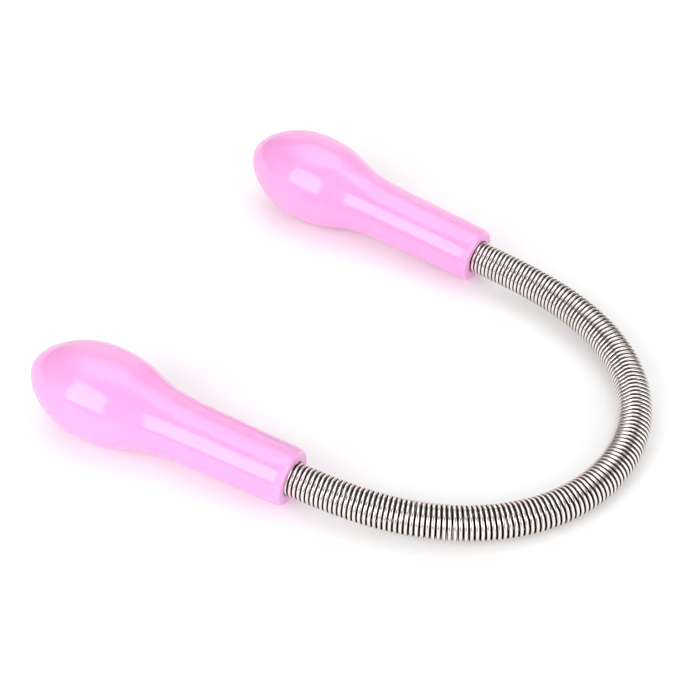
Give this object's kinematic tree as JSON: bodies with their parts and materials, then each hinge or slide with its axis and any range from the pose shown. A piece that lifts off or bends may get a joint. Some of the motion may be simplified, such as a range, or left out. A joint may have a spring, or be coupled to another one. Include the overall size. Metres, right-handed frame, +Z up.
{
  "type": "facial hair removal spring",
  "caption": "Facial hair removal tool: a close-wound steel spring, bent in a U, with an egg-shaped pink plastic handle on each end. The spring bends and the handles roll.",
  "frame": {"origin": "middle of the base of the whole object's box, on the surface that it lies on", "axes": "+X from the handles to the bend of the spring, +Y across from handle a to handle b, +Z up"},
  "size_m": [0.1166, 0.1008, 0.0205],
  "materials": {
    "pink_plastic": "glossy, slightly see-through injection moulding",
    "white_plastic": "plain injection moulding, hidden in the handle",
    "spring_steel": "bright drawn spring wire"
  },
  "bodies": {
    "spring_link_01": {"spring_link_01": "spring_steel"},
    "spring_link_02": {"spring_link_02": "spring_steel"},
    "spring_link_03": {"spring_link_03": "spring_steel"},
    "spring_link_04": {"spring_link_04": "spring_steel"},
    "spring_link_05": {"spring_link_05": "spring_steel"},
    "spring_link_06": {"spring_link_06": "spring_steel"},
    "spring_link_07": {"spring_link_07": "spring_steel"},
    "spring_link_08": {"spring_link_08": "spring_steel"},
    "spring_link_09": {"spring_link_09": "spring_steel"},
    "spring_link_10": {"spring_link_10": "spring_steel"},
    "spring_link_11": {"spring_link_11": "spring_steel"},
    "spring_link_12": {"spring_link_12": "spring_steel"},
    "spring_link_13": {"spring_link_13": "spring_steel"},
    "spring_link_14": {"spring_link_14": "spring_steel"},
    "spring_link_15": {"spring_link_15": "spring_steel"},
    "handle_a": {"handle_a": "pink_plastic", "core_plug_a": "white_plastic", "spring_tail_a": "spring_steel"},
    "handle_b": {"handle_b": "pink_plastic", "core_plug_b": "white_plastic", "spring_tail_b": "spring_steel"}
  },
  "joints": [
    {"name": "bend_01", "type": "hinge", "parent": "spring_link_02", "child": "spring_link_01", "pos_m": [0.01513, -0.03605, 0.00634], "axis": [-0.0692, 0, -0.9976], "range_deg": [-7.28, 1.46]},
    {"name": "bend_02", "type": "hinge", "parent": "spring_link_03", "child": "spring_link_02", "pos_m": [0.02502, -0.03374, 0.00565], "axis": [-0.0692, 0, -0.9976], "range_deg": [-10.03, 2.01]},
    {"name": "bend_03", "type": "hinge", "parent": "spring_link_04", "child": "spring_link_03", "pos_m": [0.0345, -0.02967, 0.00499], "axis": [-0.0692, 0, -0.9976], "range_deg": [-11.43, 2.29]},
    {"name": "bend_04", "type": "hinge", "parent": "spring_link_05", "child": "spring_link_04", "pos_m": [0.04165, -0.02473, 0.0045], "axis": [-0.0692, 0, -0.9976], "range_deg": [-11.91, 2.38]},
    {"name": "bend_05", "type": "hinge", "parent": "spring_link_06", "child": "spring_link_05", "pos_m": [0.04768, -0.01836, 0.00408], "axis": [-0.0692, 0, -0.9976], "range_deg": [-13.21, 2.64]},
    {"name": "bend_06", "type": "hinge", "parent": "spring_link_07", "child": "spring_link_06", "pos_m": [0.05213, -0.01073, 0.00377], "axis": [-0.0692, 0, -0.9976], "range_deg": [-14.46, 2.89]},
    {"name": "bend_07", "type": "hinge", "parent": "spring_link_08", "child": "spring_link_07", "pos_m": [0.05455, -0.00216, 0.0036], "axis": [-0.0692, 0, -0.9976], "range_deg": [-15.45, 3.09]},
    {"name": "bend_11", "type": "hinge", "parent": "spring_link_10", "child": "spring_link_11", "pos_m": [0.04748, 0.02302, 0.00409], "axis": [0.0692, 0, 0.9976], "range_deg": [-15.57, 3.11]},
    {"name": "bend_10", "type": "hinge", "parent": "spring_link_09", "child": "spring_link_10", "pos_m": [0.0522, 0.01541, 0.00377], "axis": [0.0692, 0, 0.9976], "range_deg": [-16.22, 3.25]},
    {"name": "bend_09", "type": "hinge", "parent": "spring_link_08", "child": "spring_link_09", "pos_m": [0.05461, 0.00678, 0.0036], "axis": [0.0692, 0, 0.9976], "range_deg": [-16.04, 3.21]},
    {"name": "bend_15", "type": "hinge", "parent": "spring_link_14", "child": "spring_link_15", "pos_m": [0.01505, 0.03735, 0.00634], "axis": [0.0692, 0, 0.9976], "range_deg": [-5.15, 1.03]},
    {"name": "bend_14", "type": "hinge", "parent": "spring_link_13", "child": "spring_link_14", "pos_m": [0.02505, 0.03585, 0.00565], "axis": [0.0692, 0, 0.9976], "range_deg": [-8.91, 1.78]},
    {"name": "bend_13", "type": "hinge", "parent": "spring_link_12", "child": "spring_link_13", "pos_m": [0.03327, 0.03326, 0.00508], "axis": [0.0692, 0, 0.9976], "range_deg": [-11.3, 2.26]},
    {"name": "bend_12", "type": "hinge", "parent": "spring_link_11", "child": "spring_link_12", "pos_m": [0.04095, 0.02903, 0.00455], "axis": [0.0692, 0, 0.9976], "range_deg": [-13.83, 2.77]},
    {"name": "roll_a", "type": "hinge", "parent": "spring_link_01", "child": "handle_a", "pos_m": [0.00315, -0.03733, 0.00717], "axis": [0.9956, 0.0632, -0.0691], "continuous": true},
    {"name": "roll_b", "type": "hinge", "parent": "spring_link_15", "child": "handle_b", "pos_m": [0.00319, 0.03807, 0.00717], "axis": [-0.9965, 0.0467, 0.0691], "continuous": true}
  ],
  "couplings": [
    {"joint": "bend_02", "follows": "bend_01", "ratio": 1.3782},
    {"joint": "bend_03", "follows": "bend_01", "ratio": 1.571},
    {"joint": "bend_04", "follows": "bend_01", "ratio": 1.6362},
    {"joint": "bend_06", "follows": "bend_05", "ratio": 1.0946},
    {"joint": "bend_07", "follows": "bend_05", "ratio": 1.1697},
    {"joint": "bend_10", "follows": "bend_11", "ratio": 1.0415},
    {"joint": "bend_09", "follows": "bend_11", "ratio": 1.0301},
    {"joint": "bend_14", "follows": "bend_15", "ratio": 1.7281},
    {"joint": "bend_13", "follows": "bend_15", "ratio": 2.1915},
    {"joint": "bend_12", "follows": "bend_15", "ratio": 2.6824},
    {"joint": "roll_b", "follows": "roll_a", "ratio": 1}
  ]
}
